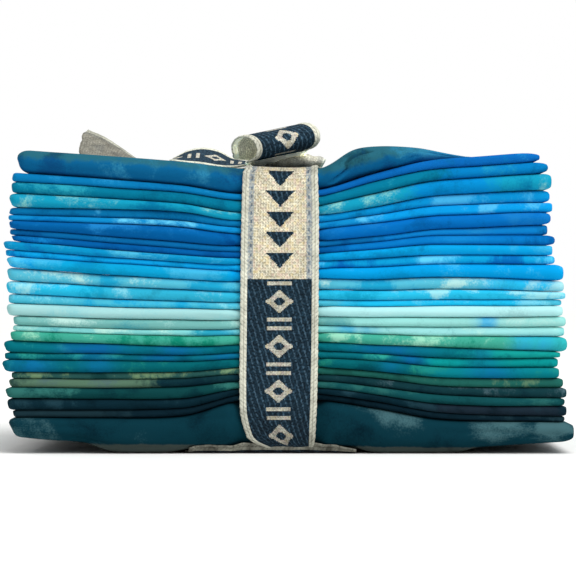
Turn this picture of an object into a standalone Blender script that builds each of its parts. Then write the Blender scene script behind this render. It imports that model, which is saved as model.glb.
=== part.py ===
"""A bundle of folded fat quarters, cut pieces of dyed cotton, tied with a woven ribbon.

+Z is up, the front folds face -Y, and the origin is under the middle of the bundle, on the
surface that it lies on. Lengths are in millimetres here and in metres in the scene.
"""

from collections import namedtuple
from math import cos, radians, sin

import bmesh
import bpy
from mathutils import Vector

MM = 0.001

# Driving dimensions.
CUT_LENGTH = 559.0
LAYERS = 4
FOLD_DEPTH = CUT_LENGTH / LAYERS
PIECE_GAP = 0.3  # between two neighbouring pieces
LAYER_GAP = 0.12  # least gap between two layers of one fat quarter
LAYER_MOST = 2.2  # thickest that one layer, itself cloth folded double, is drawn
NOSE_SHARE = 0.7  # depth of a front fold's rounding, as a share of its height
NOSE_MOST = 7.0
INNER_NOSE_SHARE = 0.7  # depth of the inner layers' turn, as a share of the room for it
RAW_INSET = 2.5  # how far the raw edges stop short of the back fold
END_INSET = 4.0  # length of the taper at each end of a fat quarter
END_SHARE = 0.5  # height left at the tip of that taper
CORNER_INSET = 2.5  # how far the corners are drawn in at the tip
NOSE_STEPS = 4
TURN_STEPS = 2

RIBBON_WIDTH = 31.0
RIBBON_THICK = 1.2
PRESSED = 68.5  # front and back of the stack under the ribbon, measured from its middle
RECESS = 2.9  # height of the stack's underside over the ribbon

# Stations along the bundle, where the heights of the folds are given.
STATIONS = {
    "left_end": -107.7,
    "left_middle": -43.5,
    "ribbon_left": -19.9,
    "ribbon_right": 12.8,
    "dome": 34.7,
    "right_middle": 60.8,
    "right_end": 104.9,
}

# The underside of the bundle: flat on the surface, but lifted over the ribbon and at both ends.
UNDERSIDE = {
    -112.3: 6.8,
    -80.4: 4.2,
    -74.0: 0.0,
    -51.5: 0.0,
    -47.5: RECESS,
    19.4: RECESS,
    23.5: 0.0,
    71.2: 0.0,
    76.0: 2.2,
    114.9: 5.8,
}

# One row for each fat quarter, top to bottom: the height of its fold at the seven stations, how
# far it reaches left and right, and how far its front and back folds lie from their usual place.
Quarter = namedtuple("Quarter", "colour heights left right front back")
QUARTERS = (
    Quarter((0.02, 0.16, 0.30), (8.7, 9.3, 9.9, 9.5, 10.3, 3.4, 0.6), 109.0, 74.4, -0.8, 0.4),
    Quarter((0.01, 0.15, 0.55), (3.8, 2.8, 2.4, 2.4, 3.2, 4.0, 3.8), 110.7, 101.3, 0.6, -0.6),
    Quarter((0.01, 0.22, 0.36), (4.7, 4.6, 5.0, 3.8, 4.7, 4.6, 4.5), 111.3, 104.5, 0.0, 0.9),
    Quarter((0.08, 0.47, 0.48), (5.5, 3.4, 3.5, 4.1, 5.5, 6.0, 6.6), 112.1, 106.0, -0.5, -0.3),
    Quarter((0.02, 0.25, 0.62), (3.0, 3.8, 2.7, 3.0, 3.1, 4.0, 5.1), 111.9, 105.3, 0.8, 0.5),
    Quarter((0.03, 0.28, 0.68), (2.4, 2.4, 2.4, 2.6, 3.4, 4.1, 3.8), 112.5, 106.4, 0.4, -0.9),
    Quarter((0.01, 0.10, 0.42), (3.5, 6.1, 5.0, 4.9, 5.3, 5.4, 4.9), 112.1, 105.5, -0.9, 0.2),
    Quarter((0.01, 0.17, 0.58), (2.5, 2.4, 2.4, 2.4, 2.4, 2.5, 4.0), 111.9, 104.5, 0.9, 1.0),
    Quarter((0.01, 0.16, 0.55), (2.4, 2.4, 2.4, 2.4, 2.9, 3.5, 4.1), 111.3, 107.3, 0.2, -0.2),
    Quarter((0.02, 0.36, 0.70), (3.4, 2.9, 2.7, 3.1, 3.5, 4.3, 4.1), 114.4, 106.4, -0.2, 0.6),
    Quarter((0.02, 0.28, 0.65), (2.6, 2.4, 2.5, 3.0, 3.5, 3.7, 3.8), 113.7, 107.3, 0.8, -0.7),
    Quarter((0.01, 0.38, 0.78), (4.5, 4.8, 4.5, 4.2, 4.9, 5.1, 6.5), 113.1, 110.8, -0.6, 0.1),
    Quarter((0.28, 0.66, 0.73), (5.4, 4.0, 4.3, 4.5, 4.5, 5.0, 4.3), 113.1, 110.9, 0.1, 1.2),
    Quarter((0.12, 0.56, 0.76), (5.3, 4.7, 4.2, 4.1, 4.1, 4.4, 3.0), 113.3, 111.6, -0.1, -0.5),
    Quarter((0.06, 0.50, 0.73), (3.8, 2.8, 2.6, 2.4, 2.6, 2.6, 2.4), 112.5, 110.0, 0.8, 0.3),
    Quarter((0.52, 0.80, 0.80), (4.9, 4.7, 4.2, 4.2, 4.2, 4.6, 4.3), 113.1, 110.5, -0.5, -0.1),
    Quarter((0.38, 0.70, 0.64), (3.6, 3.8, 3.5, 3.4, 3.6, 3.8, 4.2), 110.5, 111.7, 0.0, 0.8),
    Quarter((0.32, 0.70, 0.68), (2.4, 2.4, 2.4, 2.9, 3.1, 3.6, 4.1), 110.5, 111.2, 0.8, -0.4),
    Quarter((0.08, 0.54, 0.38), (3.8, 4.3, 3.9, 3.8, 4.2, 4.2, 6.1), 111.7, 112.2, -0.4, 0.4),
    Quarter((0.01, 0.26, 0.26), (4.8, 3.6, 3.4, 3.7, 3.6, 4.2, 2.4), 114.3, 109.6, 0.0, -0.8),
    Quarter((0.01, 0.32, 0.27), (2.8, 2.8, 2.4, 2.9, 2.9, 3.6, 3.9), 114.1, 108.6, 0.6, 0.7),
    Quarter((0.01, 0.20, 0.24), (4.9, 4.3, 3.8, 3.6, 4.2, 4.2, 4.3), 114.9, 109.1, -0.6, 0.0),
    Quarter((0.14, 0.27, 0.16), (2.7, 2.5, 2.4, 2.9, 2.7, 3.5, 3.8), 111.3, 110.7, 0.7, -0.6),
    Quarter((0.04, 0.07, 0.08), (3.5, 3.3, 2.8, 2.6, 3.7, 3.6, 4.0), 112.3, 112.1, 0.3, 0.5),
    Quarter((0.01, 0.11, 0.10), (4.3, 4.7, 2.9, 2.9, 3.0, 3.9, 3.1), 113.7, 111.2, -0.4, -0.2),
    Quarter((0.01, 0.03, 0.05), (4.8, 3.8, 2.5, 2.4, 2.6, 2.4, 2.4), 112.9, 112.1, 0.0, 0.9),
    Quarter((0.01, 0.03, 0.06), (3.0, 3.1, 2.4, 2.4, 2.6, 2.4, 2.7), 110.9, 111.3, 0.9, -0.3),
    Quarter((0.01, 0.09, 0.11), (14.6, 15.2, 21.1, 21.5, 18.6, 15.0, 14.5), 112.3, 114.9, -1.2, 1.2),
)
TOP_RIGHT_INSET = 9.0  # the top fat quarter thins out over a longer stretch on its right

# The ribbon's band turns four corners: side and level of the corner, its radius, the direction it
# faces as it starts, and the x of the ribbon's two edges before and after it.
Corner = namedtuple("Corner", "side level radius facing left_in left_out right_in right_out")
BAND_CORNERS = (
    Corner("front", "bottom", 5.0, -90, -13.6, -17.0, 10.2, 11.0),
    Corner("front", "top", 4.5, 180, -18.6, -18.6, 12.2, 12.2),
    Corner("back", "top", 3.0, 90, -17.8, -17.6, 12.4, 12.4),
    Corner("back", "bottom", 3.0, 0, -15.6, -15.0, 12.4, 12.0),
)
CORNER_STEPS = 3
# Two more places on the front, where the ribbon's edges wander.
Edges = namedtuple("Edges", "height left right")
FRONT_RUN = (Edges(20.0, -19.2, 11.4), Edges(45.0, -19.0, 11.9))

# The bow on top. A place on the ribbon is its middle, and half of its width as a vector.
Place = namedtuple("Place", "x y z across")
KNOT = {"x": -1.0, "y": -27.0, "z": 119.1, "wide": 15.0, "deep": 12.0, "high": 3.7}
KNOT_SIDES = 16
# The loop that lies rolled up toward the viewer, and how its two ends leave the knot.
ROLL = {"x": -5.6, "y": -50.0, "z": 125.4, "turned": 38, "raised": 12.5, "deep": 9.3, "high": 5.3}
ROLL_ARC = {"start": -90, "end": 200, "steps": 12}
ROLL_UNDER = (
    Place(-2.0, -29.0, 118.2, (8.0, 3.0, 0.6)),
    Place(-6.5, -39.0, 118.5, (11.0, 7.0, 1.8)),
)
ROLL_OVER = (
    Place(-12.0, -39.6, 120.8, (11.0, 7.8, 2.4)),
    Place(-8.0, -34.0, 119.9, (9.0, 4.5, 1.0)),
    Place(-2.0, -28.0, 119.6, (8.0, 3.0, 0.6)),
)
LOOP_LEFT = (
    Place(-6.0, -26.0, 119.9, (2.0, 9.0, 0.4)),
    Place(-16.0, -26.5, 119.0, (1.0, 13.5, 1.0)),
    Place(-25.0, -27.0, 118.9, (0.0, 15.4, 1.6)),
    Place(-31.0, -27.0, 120.6, (0.0, 15.2, 2.6)),
    Place(-37.0, -27.0, 121.7, (0.0, 15.2, 2.9)),
    Place(-43.0, -27.0, 121.6, (0.0, 15.3, 2.1)),
    Place(-46.5, -27.0, 121.0, (0.0, 15.4, 1.4)),
    Place(-48.8, -27.0, 120.2, (0.0, 15.5, 0.6)),
    Place(-46.5, -27.0, 119.4, (0.0, 15.5, 0.2)),
    Place(-36.0, -27.0, 118.4, (0.0, 15.5, 0.2)),
    Place(-22.0, -27.0, 116.5, (0.0, 15.5, 0.1)),
    Place(-6.0, -26.0, 117.6, (2.0, 9.0, 0.0)),
)
TAIL_LEFT = (
    Place(-4.0, -19.0, 118.2, (5.0, 5.0, 0.0)),
    Place(-9.0, -4.0, 117.5, (8.0, 6.0, 0.2)),
    Place(-20.0, 3.0, 117.0, (7.0, 12.0, 0.3)),
    Place(-34.0, 8.0, 117.2, (4.5, 14.5, 0.3)),
    Place(-50.0, 12.0, 118.6, (3.0, 15.1, 0.3)),
    Place(-64.0, 15.0, 119.9, (1.5, 15.2, 0.6)),
    Place(-70.0, 16.2, 121.6, (1.0, 15.2, 1.6)),
    Place(-76.0, 17.2, 124.4, (0.8, 15.1, 2.8)),
    Place(-83.0, 18.2, 128.0, (0.4, 15.0, 4.0)),
    Place(-91.0, 19.0, 131.4, (0.0, 14.7, 5.0)),
)
TAIL_UNDER = (
    Place(18.5, -51.0, 0.0, (0.6, 15.5, 0)),
    Place(-46.5, -49.5, 0.0, (0.6, 15.5, 0)),
)
TAIL_UNDER_THICK = 1.5
CREAM = (0.72, 0.67, 0.56)

SHARP_ANGLE = 50  # edges that turn more than this are shaded sharp
WELD = 0.001


def clear_scene():
    for obj in list(bpy.data.objects):
        bpy.data.objects.remove(obj, do_unlink=True)


def cloth_material(name, colour):
    material = bpy.data.materials.new(name)
    material.use_nodes = True
    shader = material.node_tree.nodes["Principled BSDF"]
    shader.inputs["Base Color"].default_value = (*colour, 1.0)
    shader.inputs["Roughness"].default_value = 0.85
    shader.inputs["Metallic"].default_value = 0.0
    return material


def along_line(xs, values, x):
    """The value at x on the straight runs between the points, which go on past both ends."""
    last = len(xs) - 2
    run = next((i for i in range(last) if x <= xs[i + 1]), last)
    share = (x - xs[run]) / (xs[run + 1] - xs[run])
    return values[run] + share * (values[run + 1] - values[run])


def top_of(number, x):
    """Height of the top of a fat quarter, counted from 0 at the top of the stack."""
    if number == len(QUARTERS):
        return along_line(list(UNDERSIDE), list(UNDERSIDE.values()), x)
    stacked = [sum(heights) for heights in zip(*(row.heights for row in QUARTERS[number:]))]
    return along_line(list(STATIONS.values()), stacked, x)


def loft(name, rings, material, closed=False):
    """Draws the first ring's face out through the others. A closed loft meets its own start."""
    mesh = bmesh.new()
    place = mesh.verts.layers.int.new("place")
    corners = [mesh.verts.new(point * MM) for point in rings[0]]
    for index, corner in enumerate(corners):
        corner[place] = index
    first = face = mesh.faces.new(corners)
    for ring in rings[1:] + (rings[:1] if closed else []):
        region = [face, *face.edges, *face.verts]
        drawn = bmesh.ops.extrude_face_region(mesh, geom=region)["geom"]
        face = next(part for part in drawn if isinstance(part, bmesh.types.BMFace))
        for corner in face.verts:
            corner.co = ring[corner[place]] * MM
    if closed:
        bmesh.ops.delete(mesh, geom=[first, face], context="FACES_ONLY")
        bmesh.ops.remove_doubles(mesh, verts=mesh.verts[:], dist=WELD * MM)
    bmesh.ops.recalc_face_normals(mesh, faces=mesh.faces[:])
    return finished(name, mesh, material)


def finished(name, mesh, material):
    data = bpy.data.meshes.new(name)
    mesh.to_mesh(data)
    mesh.free()
    data.materials.append(material)
    data.shade_smooth()
    data.set_sharp_from_angle(angle=radians(SHARP_ANGLE))
    obj = bpy.data.objects.new(name, data)
    bpy.context.scene.collection.objects.link(obj)
    return obj


def arc(centre, across, high, start, end, steps):
    """Points (y, z) on an ellipse. Angle 0 faces +Y and 90 faces up."""
    angles = [radians(start + (end - start) * i / steps) for i in range(steps + 1)]
    return [(centre[0] + across * cos(a), centre[1] + high * sin(a)) for a in angles]


def folded_section(x, low, high, front, back):
    """The outline at x of a cloth folded in half, and in half again.

    The outer layer runs from its raw edge at the back, around the front fold and back to the
    back fold. There it turns in, and the inner layer runs forward, turns and comes back.
    """
    height = high - low
    layer = min(LAYER_MOST, (height - (LAYERS - 1) * LAYER_GAP) / LAYERS)
    gap = (height - LAYERS * layer) / (LAYERS - 1)
    middle = (low + high) / 2
    nose = min(NOSE_MOST, NOSE_SHARE * height)
    inner_nose = min(layer + gap / 2, INNER_NOSE_SHARE * (nose - layer))
    turn = (front + nose, middle)
    heel = layer + gap / 2
    back_turn = (back - heel, high - heel)
    raw = back - RAW_INSET
    second = middle - gap / 2  # top of the second layer from below
    third = middle + gap / 2  # underside of the third
    outline = [(raw, low)]
    outline += arc(turn, nose, height / 2, 270, 90, NOSE_STEPS)
    outline += arc(back_turn, heel, heel, 90, -90, TURN_STEPS)
    outline += [(turn[0], third), (turn[0], second), (raw, second), (raw, second - layer)]
    outline += arc(turn, inner_nose, gap / 2 + layer, 270, 90, TURN_STEPS)
    outline += [(back_turn[0], third + layer), (back_turn[0], high - layer)]
    outline += arc(turn, nose - layer, height / 2 - layer, 90, 270, TURN_STEPS)
    outline += [(raw, low + layer)]
    return [Vector((x, y, z)) for y, z in outline]


def quarter_stations(number):
    """Each station's x, the height left there and how far its corners are drawn in."""
    row = QUARTERS[number]
    right_inset = TOP_RIGHT_INSET if number == 0 else END_INSET
    inner = set(STATIONS.values())
    if number == len(QUARTERS) - 1:
        inner |= set(UNDERSIDE)
    low, high = END_INSET - row.left, row.right - right_inset
    middles = [x for x in sorted(inner) if low < x < high]
    full = [(x, 1.0, 0.0) for x in [low, *middles, high]]
    return [(-row.left, END_SHARE, CORNER_INSET), *full, (row.right, END_SHARE, CORNER_INSET)]


def build_quarter(number):
    row = QUARTERS[number]
    rings = []
    lowest = number + 1 == len(QUARTERS)
    for x, share, drawn_in in quarter_stations(number):
        low = top_of(number + 1, x) + (0.0 if lowest else PIECE_GAP)
        high = top_of(number, x)
        middle, half = (low + high) / 2, (high - low) / 2 * share
        under_ribbon = STATIONS["ribbon_left"] <= x <= STATIONS["ribbon_right"]
        front = -PRESSED if under_ribbon else row.front - FOLD_DEPTH / 2 + drawn_in
        back = PRESSED if under_ribbon else row.back + FOLD_DEPTH / 2 - drawn_in
        rings.append(folded_section(x, middle - half, middle + half, front, back))
    name = f"quarter_{number + 1:02d}"
    loft(name, rings, cloth_material(name, row.colour))


def strap(name, places, material, thick, closed=False):
    """A flat ribbon through the places, thickened away from the inside of its bends."""
    middles = [Vector((place.x, place.y, place.z)) for place in places]
    before = [middles[-1] if closed else middles[0], *middles[:-1]]
    after = [*middles[1:], middles[0] if closed else middles[-1]]
    rings = []
    for place, middle, start, end in zip(places, middles, before, after):
        across = Vector(place.across)
        out = across.cross(end - start).normalized() * thick
        rings.append([middle - across, middle + across, middle + across + out, middle - across + out])
    return loft(name, rings, material, closed)


def between(left, right):
    """The place on the ribbon with these two edges."""
    return Place(*((left + right) / 2), (right - left) / 2)


def band_corner(corner):
    """The places by which the band turns one corner of the stack."""
    side = 1 if corner.side == "back" else -1
    centre = (side * (PRESSED + PIECE_GAP - corner.radius), 0.0)
    turned = arc(centre, corner.radius, corner.radius, corner.facing, corner.facing - 90, CORNER_STEPS)
    places = []
    for step, (y, z) in enumerate(turned):
        edges = []
        for first, last in ((corner.left_in, corner.left_out), (corner.right_in, corner.right_out)):
            x = first + step / CORNER_STEPS * (last - first)
            top = top_of(0, x) + PIECE_GAP - corner.radius
            bottom = RECESS - PIECE_GAP + corner.radius
            edges.append(Vector((x, y, z + (top if corner.level == "top" else bottom))))
        places.append(between(*edges))
    return places


def band_places():
    """The band's way around the stack: up the front, over the top, down the back and under."""
    first, *others = [band_corner(corner) for corner in BAND_CORNERS]
    front = -PRESSED - PIECE_GAP
    run = []
    for row in FRONT_RUN:
        edges = [Vector((x, front, row.height)) for x in (row.left, row.right)]
        run.append(between(*edges))
    return [*first, *run, *(place for corner in others for place in corner)]


def roll_places():
    """The rolled loop: forward from under the knot, around the roll and back over into the knot."""
    turned, raised = radians(ROLL["turned"]), radians(ROLL["raised"])
    along = Vector((cos(raised) * cos(turned), cos(raised) * sin(turned), sin(raised)))
    forward = Vector((sin(turned), -cos(turned), 0.0))
    up = along.cross(forward) * -1
    centre = Vector((ROLL["x"], ROLL["y"], ROLL["z"]))
    turn = arc((0, 0), ROLL["deep"], ROLL["high"], *ROLL_ARC.values())
    rolled = [Place(*(centre + forward * a + up * b), along * RIBBON_WIDTH / 2) for a, b in turn]
    return [*ROLL_UNDER, *rolled, *ROLL_OVER]


def knot(material):
    mesh = bmesh.new()
    bmesh.ops.create_uvsphere(mesh, u_segments=KNOT_SIDES, v_segments=KNOT_SIDES // 2, radius=1.0)
    size = Vector((KNOT["wide"], KNOT["deep"], KNOT["high"]))
    centre = Vector((KNOT["x"], KNOT["y"], KNOT["z"]))
    for vert in mesh.verts:
        vert.co = (centre + vert.co * size) * MM
    return finished("knot", mesh, material)


def build_ribbon():
    """One cut of ribbon: the band, and the knot, loops and free ends joined to it."""
    cream = cloth_material("ribbon", CREAM)
    band = strap("ribbon", band_places(), cream, RIBBON_THICK, closed=True)
    joined = (
        knot(cream),
        strap("front_loop", roll_places(), cream, RIBBON_THICK, closed=True),
        strap("left_loop", LOOP_LEFT, cream, RIBBON_THICK, closed=True),
        strap("left_tail", TAIL_LEFT, cream, RIBBON_THICK),
        strap("under_tail", TAIL_UNDER, cream, TAIL_UNDER_THICK),
    )
    for piece in joined:
        piece.hide_render = True
        piece.display_type = "WIRE"
        union = band.modifiers.new(piece.name, "BOOLEAN")
        union.operation = "UNION"
        union.object = piece


def main():
    clear_scene()
    for number in range(len(QUARTERS)):
        build_quarter(number)
    build_ribbon()


main()
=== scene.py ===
from math import atan, cos, exp, hypot, pi, radians, sin, sqrt

import bmesh
import bpy
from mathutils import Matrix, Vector, noise


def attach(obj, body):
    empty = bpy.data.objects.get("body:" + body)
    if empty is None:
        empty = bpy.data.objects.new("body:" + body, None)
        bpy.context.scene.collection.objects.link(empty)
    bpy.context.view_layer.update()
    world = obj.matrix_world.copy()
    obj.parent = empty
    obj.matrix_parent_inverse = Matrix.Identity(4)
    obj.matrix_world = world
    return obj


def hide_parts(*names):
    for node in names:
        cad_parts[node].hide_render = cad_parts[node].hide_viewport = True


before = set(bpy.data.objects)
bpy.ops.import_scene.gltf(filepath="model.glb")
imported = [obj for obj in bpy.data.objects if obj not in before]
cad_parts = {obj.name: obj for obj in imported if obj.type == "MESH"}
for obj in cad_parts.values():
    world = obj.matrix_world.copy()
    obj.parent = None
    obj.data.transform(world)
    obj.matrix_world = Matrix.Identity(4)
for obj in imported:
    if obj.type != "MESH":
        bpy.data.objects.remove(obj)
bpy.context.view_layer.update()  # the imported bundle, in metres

mm = 0.001
print("frame loaded:", len(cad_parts), "nodes")


def shown(obj):
    # in the scene
    bpy.context.scene.collection.objects.link(obj)
    return obj


def placed(mesh, name, *materials):
    # a finished mesh, made an object with its materials
    data = bpy.data.meshes.new(name)
    mesh.to_mesh(data)
    mesh.free()
    for material in materials:
        data.materials.append(material)
    return shown(bpy.data.objects.new(name, data))


# The camera stands at the photo's height and distance, and sees 231 mm at the front of the stack.
camera = {"place": (0.0, -1.02, 0.0666), "turned": (90, 0, 0), "angle": 2 * atan(115.5 / 950)}
cameraData = bpy.data.cameras.new("camera")
cameraData.angle = camera["angle"]
cameraData.clip_start = 0.05
cameraObject = shown(bpy.data.objects.new("camera", cameraData))
cameraObject.location = camera["place"]
cameraObject.rotation_euler = [radians(a) for a in camera["turned"]]
bpy.context.scene.camera = cameraObject


def linearColour(text):
    # a colour as it looks on a screen, turned into the shader's own scale
    parts = [int(text[i:i + 2], 16) / 255 for i in (0, 2, 4)]
    return [p / 12.92 if p <= 0.04045 else ((p + 0.055) / 1.055) ** 2.4 for p in parts]


def shade(colour, strength):
    return [min(1, c * strength) for c in colour]


def soft(value):
    # 0 to 1 with no corner at either end
    value = min(1.0, max(0.0, value))
    return value * value * (3 - 2 * value)


def hump(distance, width):
    return exp(-(distance / width) ** 2)


def wobble(x, y, z):
    # smooth noise from -1 to 1, the same in each run
    return noise.noise(Vector((x, y, z)))


def alongCurve(xs, values, x):
    # a smooth line through the points, straight beyond both ends
    if x <= xs[0] or x >= xs[-1]:
        a, b = (0, 1) if x <= xs[0] else (-2, -1)
        return values[b] + (x - xs[b]) * (values[b] - values[a]) / (xs[b] - xs[a])
    i = max(n for n in range(len(xs) - 1) if xs[n] <= x)

    def slope(n):
        before, after = max(0, n - 1), min(len(xs) - 1, n + 1)
        return (values[after] - values[before]) / (xs[after] - xs[before])

    step = xs[i + 1] - xs[i]
    t = (x - xs[i]) / step
    start, end = slope(i) * step, slope(i + 1) * step
    rise = values[i + 1] - values[i]
    return values[i] + t * start + t * t * (3 * rise - 2 * start - end) + t ** 3 * (start + end - 2 * rise)


def arcPoints(centre, deep, high, start, end, steps, boxy=2.0):
    # points on an oval, from one angle to another. It is squarer where boxy is over 2.
    points = []
    for i in range(steps + 1):
        a = radians(start + (end - start) * i / steps)
        c, s = cos(a), sin(a)
        reach = (abs(c) ** boxy + abs(s) ** boxy) ** (-1 / boxy)
        points.append((centre[0] + deep * c * reach, centre[1] + high * s * reach))
    return points


def gridPlace(vert, columns, rows):
    # the column and row of a point in a fresh grid
    return round((vert.co.x + 0.5) * (columns - 1)), round((vert.co.y + 0.5) * (rows - 1))


def layFlat(faces, flatMap, flats):
    # smooth faces, which know their place on the flat cloth
    for face in faces:
        face.smooth = True
        for corner in face.loops:
            corner[flatMap].uv = flats[corner.vert]


def thickened(obj, thickness):
    wall = obj.modifiers.new("thickness", "SOLIDIFY")
    wall.thickness = thickness * mm
    wall.offset = 0
    return wall


# The stack of folded cloth, in millimetres. Pairs of values are for most folds and for the two tall ones.
cloth = {
    "cut": (457.0, 559.0),  # a fat quarter laid flat
    "halfDepth": 69.875,  # an eighth of the cut length
    "ply": 0.22,  # thickness of the cloth
    "pairSlack": 0.03,  # between the two plies of the cloth folded across its width
    "layerMost": 2.2,  # thickness of one drawn layer
    "thinnest": 1.15,  # least height of a tapered end
    "tipShare": 0.74,  # of the heights that the rows below give for the tips
    "widthSteps": (3.3, 1.815, 1.254),  # size of the mesh along a fold: most folds, the lowest, the top one
    "noseSteps": (14, 32),  # size of the mesh around the front fold
    "topSteps": (5, 24),  # and over the upper layer
    "noseShare": 0.7,  # depth of the front fold's curve, as a share of its height
    "noseMost": 7.0,
    "rawInset": 2.5,  # of the raw edges from the back
    "stagger": 0.6,  # between the two cut ends
    "innerInset": 4.5,  # of the inner layers from the ends
    "pieceGap": 0.06,  # between two fat quarters
    "lipBack": 2.8,  # how far back the lowest piece's lip turns under
    "sway": 0.55,  # how far the front and back wander
    "wave": 0.42,  # how far the whole stack's layers rise and dip
    "rightRise": 0.8,  # of the right ends of the upper pieces
    "pressed": 68.5,  # half the depth beneath the ribbon
    "paintedTopLight": 0.3,  # painted light: how much paler each fold is painted towards its upper edge, where light from above falls
}
stationXs = (-107.7, -43.5, -19.9, 12.8, 34.7, 60.8, 104.9)
underside = (  # x and height of the lowest piece's under side
    (-112.3, 6.8), (-96, 5.3), (-82, 4.3), (-77, 2.5), (-73, 1.1), (-66, 0.2), (-58, 0.15), (-50, 0.2),
    (-44, 1), (-38, 2.3), (-33, 2.9), (19.4, 2.9), (26, 2.4), (30, 1.3), (34, 0.4), (40, 0.15), (54, 0.15),
    (66, 0.2), (71, 0.8), (76, 2.2), (84, 2.9), (114.9, 4.9))
lipTop = ((-112.3, 6.8), (-82, 4.4), (-47, 3.9), (19.4, 3.2), (84, 2.9), (114.9, 4.9))  # of its plain lip

# The top piece has its own dome beside the knot, drawn back corner and two dyes.
topPiece = {
    "domes": ((25.5, 7.5, 2.4), (38, 8, 0.6), (55, 9, 0.8)),  # x, width, height
    "cornerX": 44,  # its right front corner is drawn back from here on
    "cornerBack": 24,
    "noseMore": 8,  # how much deeper its front fold is beside the knot
    "ripple": 0.6,  # of its open top
    "paintedCreaseShade": 0.9,  # how much painted shade darkens its sharp creases
    "teal": ((-109, 119), (-60, 116.2), (-30, 113.2), (-19, 111.2), (12, 112.6), (24.6, 114.8), (39.8, 119.3),
             (52.6, 121.6), (75, 125)),  # x and height where blue turns to teal
    "tealBlend": 4.6,  # height over which it turns
}

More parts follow.
